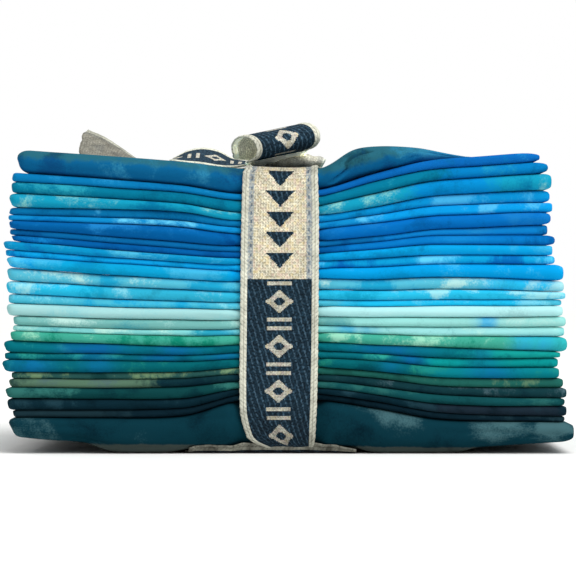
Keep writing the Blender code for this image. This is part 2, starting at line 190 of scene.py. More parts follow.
# Each fat quarter, top to bottom.
# heights: of its fold at the seven stations. reach: left, right. shift: of its front and back folds.
# ends: length of the taper and height left at the tip, left and right. slant: of its left end.
# creases: x, place on the fold's face, length, width, depth, tilt. Negative depth is a trough.
# dyes: deep, body, pale. turned: another dye, and x and half length of it where it is a patch.
# tones: x, half length and strength of lighter patches, and of darker ones with a minus.
# accents: a third dye, and the same for each of its patches.
# mottle: strength of the uneven dye. fine: the share of it that is in small specks.
# What a row leaves out is as usual.
usual = {"boxy": 2.3, "lean": 0.2, "mottle": 0.8, "fine": 0.75, "accents": ("", ())}
fatQuarters = [
    {"heights": (9.5, 9.7, 10.5, 8.7, 10.4, 3.6, 0.4), "reach": (109, 75.4), "shift": (-0.8, 0.4),
     "ends": (5, 0.42, 30, 0.25), "boxy": 2.2, "lean": 0.9, "slant": 0.8,
     "creases": ((-70, 3.4, 70, 1.3, -0.35, 2), (-34, 2.2, 26, 1.2, -0.5, -5), (-76, -2.4, 40, 1, -0.3, -1),
                 (23.5, 0.4, 2.6, 1.7, -1.6, 60), (28.5, 2.6, 9, 0.6, -2.4, 8), (28, 0.9, 8, 1.1, 1.3, 10),
                 (20.5, -1.7, 7, 0.5, -1.9, 20), (20, -2.8, 7, 0.8, 1.1, 22), (46, 3.6, 14, 1.2, -0.5, 8),
                 (38, 5.4, 16, 1.3, -0.4, -4), (50, -1.2, 2.5, 1, -0.9, 30), (60, 1.6, 22, 1, -0.5, -8)),
     "dyes": ("0a4776", "0b5a88", "2c7ea2"), "turned": ("255f70",),
     "tones": ((-60, 26, 0.3), (70, 12, 0.4), (-95, 14, -0.4), (30, 14, -0.4))},
    {"heights": (3.8, 2.8, 2.4, 2.4, 3.2, 4, 3.8), "reach": (110.7, 101.3), "shift": (0.6, -0.6),
     "ends": (2, 0.8, 9, 0.45), "boxy": 2.7, "slant": -0.3,
     "creases": ((-60, 0.5, 60, 0.9, -0.25, 1), (70, 0.4, 30, 0.9, -0.25, -2)),
     "dyes": ("0a609a", "0974ac", "2a93c8"), "turned": ("0a61ab", 60, 60), "mottle": 0.7,
     "tones": ((-80, 30, 0.2), (90, 12, 0.5), (20, 16, -0.4), (-36, 20, -0.3))},
    {"heights": (4.7, 4.6, 5, 3.8, 4.7, 4.6, 4.5), "reach": (111.3, 104.5), "shift": (0, 0.9),
     "ends": (2.6, 0.7, 7, 0.5), "lean": -0.2, "slant": 0.2,
     "creases": ((-75, -0.9, 55, 1, -0.3, 2), (-30, 0.9, 20, 1, -0.4, -7), (52, 0.6, 26, 1, -0.35, 3)),
     "dyes": ("045c7a", "057190", "2a9cb0"), "turned": ("0574b2", 84, 22),
     "tones": ((-80, 16, 0.5), (46, 7, 0.5), (-38, 18, -1), (60, 14, -0.5), (100, 10, -0.6))},
    {"heights": (5.5, 3.4, 3.5, 4.1, 5.5, 6, 6.6), "reach": (112.1, 106), "shift": (-0.5, -0.3),
     "ends": (3, 0.66, 4.2, 0.72), "lean": 0.3, "slant": 0.8,
     "creases": ((-88, 0.4, 24, 1.1, -0.4, -6), (-28, 0.2, 18, 1, -0.4, -8), (36, 1, 24, 1.1, -0.4, 4)),
     "dyes": ("056f98", "1290b0", "84c6be"), "turned": ("0581c0", 64, 16),
     "tones": ((-104, 10, 0.8), (-84, 10, 0.4), (-28, 11, 0.8), (18, 8, 0.3), (36, 12, 1), (52, 6, 0.3),
               (-51, 12, -1.2), (68, 9, -0.7), (86, 8, -0.8))},
    {"heights": (3, 3.8, 2.7, 3, 3.1, 4, 5.1), "reach": (111.9, 105.3), "shift": (0.8, 0.5),
     "ends": (2.6, 0.7, 4.6, 0.62), "boxy": 2.5, "lean": 0, "slant": -0.4,
     "creases": ((-60, 0.2, 50, 0.9, -0.3, 2), (56, 0.7, 30, 1, -0.3, -3)),
     "dyes": ("055a8a", "086da2", "4fb4e0"), "turned": ("0886c4", 66, 60),
     "tones": ((64, 9, 0.9), (-92, 14, 0.3), (-46, 20, -0.5), (26, 12, -0.3))},
    {"heights": (2.4, 2.4, 2.4, 2.6, 3.4, 4.1, 3.8), "reach": (112.5, 106.4), "shift": (0.4, -0.9),
     "ends": (2, 0.8, 2.2, 0.85), "boxy": 2.7, "lean": -0.3, "slant": 0.1,
     "creases": ((-20, 0.1, 30, 0.8, -0.2, -3), (70, 0.2, 26, 1, -0.3, 2)),
     "dyes": ("046aac", "0e82be", "5cbee2"), "turned": ("098fd2", 80, 46), "mottle": 0.9,
     "tones": ((-62, 14, 0.4), (-34, 14, 0.5), (84, 10, 0.8), (36, 8, 0.3), (-102, 14, -0.6),
               (54, 10, -0.4))},
    {"heights": (3.5, 6.1, 5, 4.9, 5.3, 5.4, 4.9), "reach": (112.1, 105.5), "shift": (-0.9, 0.2),
     "ends": (2.6, 0.7, 4.4, 0.62), "lean": 0.3, "slant": 0.3,
     "creases": ((-58, -1.2, 60, 1.1, -0.4, 1), (-28, 1.1, 20, 1, -0.4, -5), (54, -1, 22, 1.2, -0.5, -8),
                 (84, 1, 22, 1, -0.35, 4)),
     "dyes": ("034684", "045a9a", "1c78b8"), "turned": ("0567b2", 66, 50),
     "tones": ((-92, 9, 0.4), (-46, 12, 0.2), (22, 6, 0.4), (96, 10, 0.5), (-10, 26, -0.5), (52, 8, -1))},
    {"heights": (2.5, 2.4, 2.4, 2.4, 2.4, 2.5, 4), "reach": (111.9, 104.5), "shift": (0.9, 1),
     "ends": (2, 0.8, 2.4, 0.8), "boxy": 2.6, "slant": 0,
     "creases": ((-70, 0.1, 50, 0.8, -0.25, 1), (84, 0.3, 24, 0.9, -0.3, -3)),
     "dyes": ("05508c", "0966a2", "2488c4"), "turned": ("0c7cc4", 70, 34), "mottle": 0.6,
     "tones": ((74, 12, 0.5), (-66, 10, 0.4), (-96, 14, -0.4), (20, 10, -0.3))},
    {"heights": (2.4, 2.4, 2.4, 2.4, 2.9, 3.5, 4.1), "reach": (111.3, 107.3), "shift": (0.2, -0.2),
     "ends": (2.6, 0.72, 4.8, 0.58), "boxy": 2.4, "lean": -0.2, "slant": 0.6,
     "creases": ((-30, 0.1, 26, 0.8, -0.25, -4), (60, 0.3, 34, 0.9, -0.3, 2)),
     "dyes": ("034886", "04589a", "1482c4"), "turned": ("0670b8", 62, 40), "mottle": 0.6,
     "tones": ((-100, 10, 0.4), (67, 11, 0.7), (-56, 24, -0.5), (96, 10, -0.4))},
    {"heights": (3.4, 2.9, 2.7, 3.1, 3.5, 4.3, 4.1), "reach": (114.4, 106.4), "shift": (-0.2, 0.6),
     "ends": (3, 0.7, 2.2, 0.9), "boxy": 2.4, "lean": 0.3, "slant": 0.4,
     "creases": ((-84, 0.5, 34, 1, -0.35, 4), (30, 0.3, 24, 0.9, -0.3, -2)),
     "dyes": ("0b6eaa", "0a88ba", "48b0d2"), "turned": ("0896d2", 70, 56),
     "tones": ((-70, 12, 0.5), (82, 10, 0.4), (103, 6, 0.9), (-98, 16, -0.6), (60, 9, -0.3))},
    {"heights": (2.6, 2.4, 2.5, 3, 3.5, 3.7, 3.8), "reach": (113.7, 107.3), "shift": (0.8, -0.7),
     "ends": (2, 0.78, 3.4, 0.7), "boxy": 2.6, "lean": 0, "slant": 0.1,
     "creases": ((-80, 0.2, 34, 0.9, -0.3, 3), (46, 0.4, 26, 1, -0.3, 2)),
     "dyes": ("0666ae", "0c96cc", "58c4ea"), "turned": ("0c9cda", -50, 60),
     "tones": ((64, 12, 0.9), (-68, 9, 0.4), (104, 8, 0.5), (21, 7, -0.9), (86, 9, -0.9), (-84, 10, -0.3))},
    {"heights": (4.5, 4.8, 4.5, 4.2, 4.9, 5.1, 6.5), "reach": (113.1, 110.8), "shift": (-0.6, 0.1),
     "ends": (3.4, 0.66, 4.2, 0.7), "slant": 0.9,
     "creases": ((-74, 0.9, 44, 1.1, -0.4, -2), (-30, -0.8, 20, 1, -0.35, 4), (70, 1, 36, 1.1, -0.4, 2)),
     "dyes": ("0584bc", "0593d2", "4cb8dc"), "turned": ("0a96c6", -62, 40), "mottle": 0.7,
     "tones": ((-40, 14, 0.7), (-104, 12, 0.3), (66, 7, 0.8), (44, 10, -0.3), (-70, 12, -0.4))},
    {"heights": (5.4, 4, 4.3, 4.5, 4.5, 5, 4.3), "reach": (113.1, 110.9), "shift": (0.1, 1.2),
     "ends": (3, 0.7, 3, 0.8), "lean": -0.1, "slant": 0.6,
     "creases": ((-88, 0.6, 30, 1.1, -0.4, 3), (-26, 0.6, 18, 1, -0.4, -5), (34, 0.9, 28, 1, -0.35, 2)),
     "dyes": ("1b98c0", "4eb0c8", "a6d4d2"), "turned": ("24acd8", 94, 14), "mottle": 1,
     "tones": ((-88, 12, 0.8), (66, 16, 0.4), (18, 6, 0.4), (34, 9, -0.8), (-32, 14, -0.5))},
    {"heights": (5.3, 4.7, 4.2, 4.1, 4.1, 4.4, 3), "reach": (113.3, 111.6), "shift": (-0.1, -0.5),
     "ends": (3, 0.7, 3.2, 0.76), "lean": 0.3, "slant": 0.4,
     "creases": ((-64, 0.5, 50, 1.1, -0.4, -2), (40, 0.6, 24, 1, -0.3, 3), (86, -0.5, 26, 1, -0.35, -2)),
     "dyes": ("1298be", "26b2d8", "90d2dc"), "turned": ("2ca6c6", -44, 34), "mottle": 1,
     "tones": ((-100, 16, 0.7), (98, 12, 0.5), (-28, 7, 0.4), (-52, 10, -0.4), (34, 9, -0.3))},
    {"heights": (3.8, 2.8, 2.6, 2.4, 2.6, 2.6, 2.4), "reach": (112.5, 110), "shift": (0.8, 0.3),
     "ends": (2.4, 0.78, 2.6, 0.8), "boxy": 2.5, "lean": 0, "slant": 0,
     "creases": ((-70, 0.2, 40, 0.9, -0.3, 2), (50, 0.1, 30, 0.8, -0.2, -2)),
     "dyes": ("149cca", "46b2cc", "8cd8e4"), "turned": ("1cb4e0", 62, 40),
     "tones": ((-96, 20, 0.4), (100, 8, 0.9), (-66, 14, -0.3), (80, 12, -0.5))},
    {"heights": (4.9, 4.7, 4.2, 4.2, 4.2, 4.6, 4.3), "reach": (113.1, 110.5), "shift": (-0.5, -0.1),
     "ends": (2.8, 0.7, 3.4, 0.74), "slant": 0.4,
     "creases": ((-80, 0.8, 44, 1.1, -0.4, 2), (-28, -0.6, 16, 1, -0.35, -5), (66, 0.8, 36, 1.1, -0.4, -2)),
     "dyes": ("7cc0c8", "98c8c8", "c6e4de"), "turned": ("a6dadb", 64, 52), "mottle": 0.7, "fine": 0.5,
     "tones": ((74, 26, 0.3), (-34, 12, -0.3))},
    {"heights": (3.6, 3.8, 3.5, 3.4, 3.6, 3.8, 4.2), "reach": (110.5, 111.7), "shift": (0, 0.8),
     "ends": (2.4, 0.76, 2.8, 0.78), "boxy": 2.4, "lean": -0.2, "slant": 0.2,
     "creases": ((-60, -0.5, 50, 1, -0.3, 2), (34, 0.4, 20, 1, -0.3, 3)),
     "dyes": ("4898a2", "6caaa6", "b4d8d0"), "turned": ("8ccbc6", 74, 50), "mottle": 0.6, "fine": 0.5,
     "tones": ((-48, 12, 0.3), (-92, 14, 0.3), (100, 14, 0.5), (-69, 8, -0.7), (24, 10, -0.2)),
     "accents": ("2a9fd6", ((79.5, 2.6, 1),))},
    {"heights": (2.4, 2.4, 2.4, 2.9, 3.1, 3.6, 4.1), "reach": (110.5, 111.2), "shift": (0.8, -0.4),
     "ends": (2.2, 0.8, 3, 0.7), "boxy": 2.6, "lean": 0.1, "slant": -0.2,
     "creases": ((-84, 0.1, 30, 0.8, -0.25, -2), (74, 0.3, 30, 0.9, -0.3, 2)),
     "dyes": ("1c94a8", "7cc9c8", "b8e4d8"), "turned": ("94d5d4", 66, 44),
     "tones": ((-104, 8, 0.5), (-52, 14, 0.3), (38, 8, 0.3), (-28, 8, -1.3), (52, 7, -0.2)),
     "accents": ("3aa6cc", ((23, 3, 0.8), (32, 3, 0.6), (-27, 7, 0.5)))},
    {"heights": (3.8, 4.3, 3.9, 3.8, 4.2, 4.2, 6.1), "reach": (111.7, 112.2), "shift": (-0.4, 0.4),
     "ends": (2.8, 0.7, 4.2, 0.62), "slant": 0.3,
     "creases": ((-70, 0.7, 44, 1, -0.4, 2), (-28, 0.6, 18, 1, -0.4, -5), (60, 0.9, 34, 1.1, -0.4, -2)),
     "dyes": ("0c7c66", "3c9c88", "8ccab0"), "turned": ("2ca4a8", 106, 14), "mottle": 0.9, "fine": 0.95,
     "tones": ((-62, 18, 0.3), (22, 10, 0.15), (-92, 14, 0.2), (-30, 12, -0.4), (80, 10, -0.3)),
     "accents": ("2a9cc0", ((94, 3, 0.8), (103, 3, 0.7)))},
    {"heights": (4.8, 3.6, 3.4, 3.7, 3.6, 4.2, 2.4), "reach": (114.3, 109.6), "shift": (0, -0.8),
     "ends": (3.4, 0.64, 2.6, 0.78), "boxy": 2.4, "lean": 0, "slant": 0.7,
     "creases": ((-86, 0.6, 34, 1, -0.4, -3), (44, 0.5, 24, 1, -0.35, 3)),
     "dyes": ("045460", "066874", "30988c"), "turned": ("12908a", 92, 20), "mottle": 0.65,
     "tones": ((96, 14, 0.4), (50, 10, 0.2), (-64, 18, -0.3), (-24, 12, -0.3), (62, 8, -0.5)),
     "accents": ("0b5c94", ((-78, 10, 0.9), (-44, 7, 0.7), (40, 10, 0.7), (78, 3, 0.6)))},
    {"heights": (2.8, 2.8, 2.4, 2.9, 2.9, 3.6, 3.9), "reach": (114.1, 108.6), "shift": (0.6, 0.7),
     "ends": (2.4, 0.76, 2.6, 0.8), "boxy": 2.5, "slant": 0.1,
     "creases": ((-60, 0.2, 40, 0.9, -0.3, 2), (70, 0.3, 30, 0.9, -0.3, -2)),
     "dyes": ("055062", "086470", "2c9a8c"), "turned": ("0a8c8c", 84, 30),
     "tones": ((-100, 12, 0.8), (35, 14, 0.3), (-60, 14, -0.3), (50, 7, -0.4)),
     "accents": ("0b6096", ((-77, 6, 0.5), (-52, 6, 0.7), (-25, 7, 0.6), (50, 4, 0.9), (78, 5, 0.5)))},
    {"heights": (4.9, 4.3, 3.8, 3.6, 4.2, 4.2, 4.3), "reach": (114.9, 109.1), "shift": (-0.6, 0),
     "ends": (3.4, 0.66, 3, 0.76), "slant": 0.8,
     "creases": ((-80, 0.8, 40, 1.1, -0.4, 2), (-26, 0.5, 16, 1, -0.4, -6), (62, 0.8, 32, 1.1, -0.4, -3)),
     "dyes": ("034650", "055a62", "20806e"), "turned": ("07747e", 88, 30),
     "tones": ((-68, 9, 0.2), (20, 10, 0.3), (-40, 16, -0.3), (38, 9, -0.2)),
     "accents": ("0a6494", ((-103, 8, 0.7), (-76, 5, 0.6), (41, 4, 0.4), (82, 7, 0.8)))},
    {"heights": (2.7, 2.5, 2.4, 2.9, 2.7, 3.5, 3.8), "reach": (111.3, 110.7), "shift": (0.7, -0.6),
     "ends": (2.2, 0.8, 2.8, 0.78), "boxy": 2.6, "lean": 0, "slant": 0,
     "creases": ((-70, 0.1, 36, 0.9, -0.3, -2), (70, 0.3, 30, 0.9, -0.3, 2)),
     "dyes": ("143c3c", "264f4c", "6c8a68"), "turned": ("1e5a52", 60, 60), "mottle": 1.1, "fine": 1,
     "tones": ((-80, 22, 0.3), (-40, 14, 0.4), (92, 20, 0.3), (-108, 6, -0.3), (30, 16, -0.4))},
    {"heights": (3.5, 3.3, 2.8, 2.6, 3.7, 3.6, 4), "reach": (112.3, 112.1), "shift": (0.3, 0.5),
     "ends": (2.6, 0.72, 3, 0.74), "boxy": 2.4, "slant": 0.4,
     "creases": ((-84, 0.3, 30, 1, -0.35, 3), (50, 0.5, 28, 1, -0.35, -3)),
     "dyes": ("0a2630", "12343a", "4a626a"), "turned": ("52705c", -82, 30), "mottle": 0.9,
     "tones": ((-104, 10, 0.5), (-62, 16, 0.3), (98, 10, 0.4), (-30, 14, -0.5), (38, 22, -0.5))},
    {"heights": (4.3, 4.7, 2.9, 2.9, 3, 3.9, 3.1), "reach": (113.7, 111.2), "shift": (-0.4, -0.2),
     "ends": (3.2, 0.66, 3, 0.76), "lean": 0, "slant": 0.7,
     "creases": ((-66, -0.7, 44, 1.1, -0.4, 2), (-30, 0.5, 14, 1, -0.4, -6), (66, 0.5, 26, 1, -0.3, 3)),
     "dyes": ("072e34", "0d3e40", "2c6660"), "turned": ("10464a", 60, 50), "mottle": 1,
     "tones": ((-104, 12, 0.4), (102, 10, 0.6), (-36, 16, -0.5), (20, 8, -0.2))},
    {"heights": (4.8, 3.8, 2.5, 2.4, 2.6, 3.5, 4.1), "reach": (112.9, 112.1), "shift": (0, 0.9),
     "ends": (3, 0.7, 2.6, 0.8), "boxy": 2.5, "slant": 0.3,
     "creases": ((-84, 0.8, 36, 1.1, -0.4, -3), (40, 0.1, 30, 0.8, -0.2, 2)),
     "dyes": ("061a22", "0a242e", "1c3842"), "turned": ("1a2732", 84, 26), "mottle": 0.9,
     "tones": ((-106, 10, 0.5), (66, 9, 0.3), (30, 16, -0.3), (-46, 14, -0.3))},
    {"heights": (3, 3.1, 2.4, 2.4, 2.6, 2.4, 2.5), "reach": (110.9, 111.3), "shift": (0.9, -0.3),
     "ends": (2.2, 0.8, 2.6, 0.8), "boxy": 2.6, "lean": 0, "slant": 0.4,
     "creases": ((-60, 0.2, 40, 0.9, -0.3, 3), (72, 0.1, 30, 0.8, -0.2, -2)),
     "dyes": ("04141c", "0b202a", "203840"), "turned": ("1a3038", -92, 24),
     "tones": ((-104, 10, 0.3), (88, 12, 0.2), (0, 30, -0.5), (60, 20, -0.3))},
    {"heights": (14.6, 15.2, 21.3, 21.6, 18.5, 14, 12.8), "reach": (112.3, 114.9), "shift": (-1.2, 1.2),
     "ends": (3.6, 0.74, 5.4, 0.7), "boxy": 2.6, "lean": 0.6, "slant": 2,
     "creases": ((-72, -4.6, 40, 1.5, -1.5, 0), (48, -5.2, 44, 1.5, -1.4, 0), (-30, 3, 26, 1.8, -0.7, -7),
                 (-84, 2, 40, 1.8, -0.5, 3), (34, 3.4, 22, 1.7, -0.7, 8), (78, 1.4, 40, 1.8, -0.6, -3),
                 (100, -2, 16, 1.6, -0.6, 10)),
     "dyes": ("041c26", "09303b", "3e6066"), "turned": ("434d4a",), "mottle": 0.7, "fine": 0.45,
     "tones": ((-98, 20, 0.22), (-70, 16, 0.1), (84, 13, 0.8), (104, 10, 0.55), (42, 14, 0.3),
               (-46, 22, -0.55), (24, 14, -0.5), (66, 9, -0.5))},
]
for number, row in enumerate(fatQuarters):
    tall = {"isTop": number == 0, "isBottom": number == len(fatQuarters) - 1}
    fatQuarters[number] = {**usual, **row, **tall, "isTall": any(tall.values())}


def topOf(number, x):
    # height of the top of a fat quarter, counted from 0 at the top. The count of them gives the under side.
    if number == len(fatQuarters):
        return max(0.15, alongCurve(*zip(*underside), x))
    stacked = [sum(piece["heights"][i] for piece in fatQuarters[number:]) for i in range(len(stationXs))]
    wave = wobble(x / 48, number * 0.3, 1.7) + 0.4 * wobble(x / 21, number * 0.3, 6.1)
    calm = soft(number / 3) * soft((len(fatQuarters) - number) / 3) * 0.8 + 0.2
    domes = topPiece["domes"] if number == 0 else ()
    dome = sum(high * hump(x - centre, wide) for centre, wide, high in domes)
    raised = cloth["rightRise"] * soft((x - 72) / 26) * soft((13 - number) / 12)
    return alongCurve(stationXs, stacked, x) + wave * cloth["wave"] * calm + dome + raised


ribbonEdges = {  # x of the ribbon's edges, from the bottom of the front to the top
    "heights": (1.5, 3.4, 4.2, 5, 6.4, 8.2, 12, 20, 45, 90, 112),
    "left": (-6.5, -8.6, -11.2, -13.6, -15.5, -16.9, -18.2, -19.2, -19.1, -18.6, -18),
    "right": (9.6, 10, 10.2, 10.4, 10.6, 10.8, 11, 11.4, 11.9, 12.2, 12),
    "margin": 0.6,  # of cloth pressed flat on each side of it
    "fade": 5.5,  # and how far beside that the press still shows
}


def ribbonSides(z):
    # x of both edges of the ribbon at one height of the front
    return [alongCurve(ribbonEdges["heights"], ribbonEdges[side], z) for side in ("left", "right")]


def pressOf(x, z):
    # 1 under the ribbon, fading to 0 beside it
    left, right = ribbonSides(min(112, max(3, z)))
    outside = max(left - ribbonEdges["margin"] - x, x - (right + ribbonEdges["margin"]), 0.0)
    return 1 - soft(outside / ribbonEdges["fade"]), outside


bottomShares = (1, 0.7, 0.4, 0.15)  # the rows of the lowest layer, from the raw edge at the back
noseStart = len(bottomShares)


def foldPath(low, high, front, back, boxy, lean, raw, tall, noseMost):
    # the way of the doubled cloth through one fold at one x, from the raw edge at the back, as (y, z)
    height = high - low
    half = cloth["ply"] + cloth["pairSlack"] / 2
    middle = (low + high) / 2
    layer = min(cloth["layerMost"], (height - 0.36) / 4)
    inner = max(half + 0.02, (height - 4 * layer) / 6 + layer / 2)
    nose = min(noseMost, height * (cloth["noseShare"] + 0.04 * max(0, noseMost - cloth["noseMost"])))
    turn = front + nose
    bend = max(0.1, (high - half - middle - inner) / 2)
    heel = back - half - bend
    noseSteps, topSteps = cloth["noseSteps"][tall], cloth["topSteps"][tall]
    bottom = [(turn + (back - raw[0] - turn) * s, low + half) for s in bottomShares]
    outer = arcPoints((turn, middle), nose - half, height / 2 - half, 270, 90, noseSteps, boxy)
    for i, (y, z) in enumerate(outer):
        outer[i] = (y - lean * (z - middle) / height * 2 * sin(pi * i / noseSteps), z)
    top = [(turn + (heel - turn) * (i / topSteps) ** 1.7, high - half) for i in range(1, topSteps)]
    turned = arcPoints((heel, high - half - bend), bend, bend, 90, -90, 6)
    third = [(heel + (turn - heel) * s, middle + inner) for s in (0.33, 0.67)]
    insideTurn = arcPoints((turn + 0.2, middle), inner, inner, 90, 270, 5)
    second = [(turn + (back - raw[1] - turn) * s, middle - inner) for s in (0.35, 0.7, 1)]
    return bottom + outer + top + turned + third + insideTurn + second


def widthXs(left, right, step):
    # the x of each column of the mesh, closer together at the ends
    ends = (0.0, 0.25, 0.7, 1.4, 2.3, 3.5, 5.0, 7.0)
    inner = [left + d for d in ends]
    span = right - left - 2 * ends[-1] - 2 * step * 0.9
    steps = round(span / step)
    start = left + ends[-1] + step * 0.9
    inner += [start + span * i / steps for i in range(steps + 1)]
    return inner + [right - d for d in reversed(ends)]


def clothColumns(number, piece):
    # x, offset and flat place of each column: one ply, three for the fold across the width, the other ply
    left, right = piece["reach"]
    xs = widthXs(-left, right, cloth["widthSteps"][2 * piece["isTop"] + piece["isBottom"]])
    outward = 1
    if number % 2:  # the cut ends lie left and right by turns
        xs.reverse()
        outward = -1
    side = (cloth["ply"] + cloth["pairSlack"]) / 2
    width = abs(xs[-1] - xs[0])
    columns = [(x, side, abs(x - xs[0])) for x in xs]
    for turn in (45, 90, 135):
        x = xs[-1] + side * sin(radians(turn)) * outward
        columns.append((x, side * cos(radians(turn)), width + side * turn / 57))
    stagger = cloth["stagger"] + 0.9 * abs(wobble(number * 3.1, 0.4, 0))
    for i, x in enumerate(reversed(xs)):
        pulled = stagger * outward * soft((i - len(xs) + 9) / 8)
        columns.append((x + pulled, -side, 2 * width - abs(x - xs[0])))
    return columns, len(xs)


def openedAt(distance, length):
    # how far a tapered end is open, from 0 at its tip to 1
    return sqrt(max(0, 1 - (1 - max(0, min(1, distance / length))) ** 2))


def foldAt(number, piece, x):
    # the path of the cloth at one x, and how far the tapered ends are open there
    left, right = piece["reach"]
    leftLength, leftTip, rightLength, rightTip = piece["ends"]
    top = topOf(number, x) - cloth["pieceGap"] / 2
    bottom = topOf(number + 1, x) + cloth["pieceGap"] / 2
    height, middle = top - bottom, (top + bottom) / 2
    openedLeft, openedRight = openedAt(x + left, leftLength), openedAt(right - x, rightLength)
    opened = min(openedLeft, openedRight)
    tip = (leftTip if openedLeft < openedRight else rightTip) * cloth["tipShare"]
    share = max(tip + (1 - tip) * opened, min(1.0, cloth["thinnest"] / height))
    if piece["isTop"]:  # its right end sinks behind the next fold
        middle -= (1 - openedRight) * height / 2 * (1 - share)
    press, outside = pressOf(x, middle)
    sway = cloth["sway"] * wobble(x / 26, number * 5.7, 0.3)
    front = piece["shift"][0] - cloth["halfDepth"] + sway + 4.0 * (1 - opened)
    front -= 0.35 * hump(outside - 8, 5) * (outside > 0)
    noseMost = cloth["noseMost"]
    if piece["isTop"]:
        front += topPiece["cornerBack"] * soft((x - topPiece["cornerX"]) / 34)
        noseMost += topPiece["noseMore"] * hump(x - 30, 22)
    front += (-cloth["pressed"] - front) * press
    back = piece["shift"][1] + cloth["halfDepth"] + 0.8 * sway - 3.0 * (1 - opened)
    back += (cloth["pressed"] - back) * press
    raw = [cloth["rawInset"] + 0.7 * wobble(x / 15, number * 2.3, k) for k in (4, 9)]
    boxy, lean = 2 + (piece["boxy"] - 2) * (1 - press), piece["lean"] * (1 - press) * opened
    low, high = middle - height / 2 * share, middle + height / 2 * share
    return foldPath(low, high, front, back, boxy, lean, raw, piece["isTall"], noseMost), opened


def creaseDepth(piece, x, s):
    # how far the soft troughs and ridges move the cloth here
    depth = 0.0
    for centre, place, length, width, rise, tilt in piece["creases"]:
        along = x - centre
        if abs(along) < length:
            across = s - place - along * tilt * 0.012
            depth += rise * hump(along, length * 0.55) * hump(across, width)
    return depth


def patchesAt(patches, x, spread=1.0):
    # strength at x of patches that fade into each other
    return sum(strength * hump(x - centre, long * spread) for centre, long, strength in patches)


def foldedCloth(number, piece, material):
    # one cut of cloth, folded in half across its width and in four along its length
    left, right = piece["reach"]
    isTop, isBottom = piece["isTop"], piece["isBottom"]
    columns, nearCount = clothColumns(number, piece)
    folds = [foldAt(number, piece, x) for x, offset, flat in columns]
    rows = len(folds[0][0])
    noseSteps, topSteps = cloth["noseSteps"][piece["isTall"]], cloth["topSteps"][piece["isTall"]]
    noseMiddle, noseEnd = noseStart + noseSteps // 2, noseStart + noseSteps
    topEnd = noseEnd + topSteps
    lengths = [0.0]  # along the path, for the cloth's own flat measure
    nominal = folds[nearCount // 4][0]
    for a, b in zip(nominal, nominal[1:]):
        lengths.append(lengths[-1] + hypot(b[0] - a[0], b[1] - a[1]))
    mesh = bmesh.new()
    toneAndPaintedLight, turned, accent = [mesh.verts.layers.float.new(layer) for layer in ("toneAndPaintedLight", "turned", "accent")]
    flatMap = mesh.loops.layers.uv.new("cloth")
    bmesh.ops.create_grid(mesh, x_segments=len(columns) - 1, y_segments=rows - 1, size=0.5)
    flats = {}
    for vert in mesh.verts:
        column, row = gridPlace(vert, len(columns), rows)
        x, offset, flat = columns[column]
        path, opened = folds[column]
        before, after = path[max(0, row - 1)], path[min(rows - 1, row + 1)]
        dy, dz = after[0] - before[0], after[1] - before[1]
        size = hypot(dy, dz) or 1.0
        s = lengths[row] - lengths[noseMiddle]
        pushed = offset
        if noseStart < row < topEnd:
            pushed += creaseDepth(piece, x, s) * opened
        y, z = path[row][0] + pushed * (-dz / size), path[row][1] + pushed * (dy / size)
        if isBottom and noseStart <= row < noseMiddle:  # the lip that touches the ground lies further back
            plain = alongCurve(*zip(*lipTop), x)
            lip = soft((plain + 0.5 - z) / 1.5) * soft((plain - topOf(number + 1, x)) / 0.8)
            y += cloth["lipBack"] * lip * (1 - (y + 71) / 7.5)
        low, high = path[noseStart][1], path[noseEnd][1]
        sunk = 1 - (z - low) / max(1, high - low)
        x += piece["slant"] * sunk * max(0, 1 - (x + left) / 9)
        if row > topEnd + 3:  # the inner layers stop a little short of the ends
            uneven = cloth["innerInset"] + 2 * wobble(number * 4.4, row * 0.2, 2)
            inset = soft((row - topEnd - 3) / 3) * uneven
            x += inset * max(0, 1 - (x + left) / 22) - inset * max(0, 1 - (right - x) / 22)
        if isTop and noseEnd < row < topEnd:  # the open top surface is never flat
            openTop = soft((y + 62) / 20) * soft((62 - y) / 12) * (1 - hump(x + 16, 34) * hump(y + 26, 30))
            z += topPiece["ripple"] * wobble(x / 30, y / 34, 3.3) * openTop
        vert.co = Vector((x, y, z)) * mm
        near = hump(s, 30)
        upper = (z - low) / max(1, high - low) - 0.5
        vert[toneAndPaintedLight] = patchesAt(piece["tones"], x) * near
        # painted light along the upper edge of each front fold
        vert[toneAndPaintedLight] += cloth["paintedTopLight"] * upper * (noseStart < row < noseEnd)
        vert[accent] = patchesAt(piece["accents"][1], x, 1.3) * near
        if isTop:  # teal above, blue below
            teal = alongCurve(*zip(*topPiece["teal"]), x)
            vert[turned] = soft((z - teal) / topPiece["tealBlend"] + 0.5) if row < topEnd else 1.0
            # painted shade in the troughs of its creases
            vert[toneAndPaintedLight] += topPiece["paintedCreaseShade"] * min(0.0, creaseDepth(piece, x, s) + 0.5) * (row < topEnd)
        elif isBottom:
            lip = soft((alongCurve(*zip(*lipTop), x) + 0.4 - z) / 1.2)
            vert[turned] = lip * (row < noseMiddle)
        else:
            otherX, otherLong = piece["turned"][1:]
            inLength = 1 - soft((abs(x - otherX) - otherLong + 9) / 18)
            vert[turned] = inLength * (1 - soft((abs(s) - 27.5) / 5))
        flats[vert] = (flat * mm, lengths[row] * mm)
    layFlat(mesh.faces, flatMap, flats)
    obj = placed(mesh, f"fatQuarter{number + 1:02d}", material)
    thickened(obj, cloth["ply"])
    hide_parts(f"quarter_{number + 1:02d}")
    f"quarter_{number + 1:02d}"
    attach(obj, "root")
    return obj


def operator(operation):
    return lambda *values: sums(operation, *values)


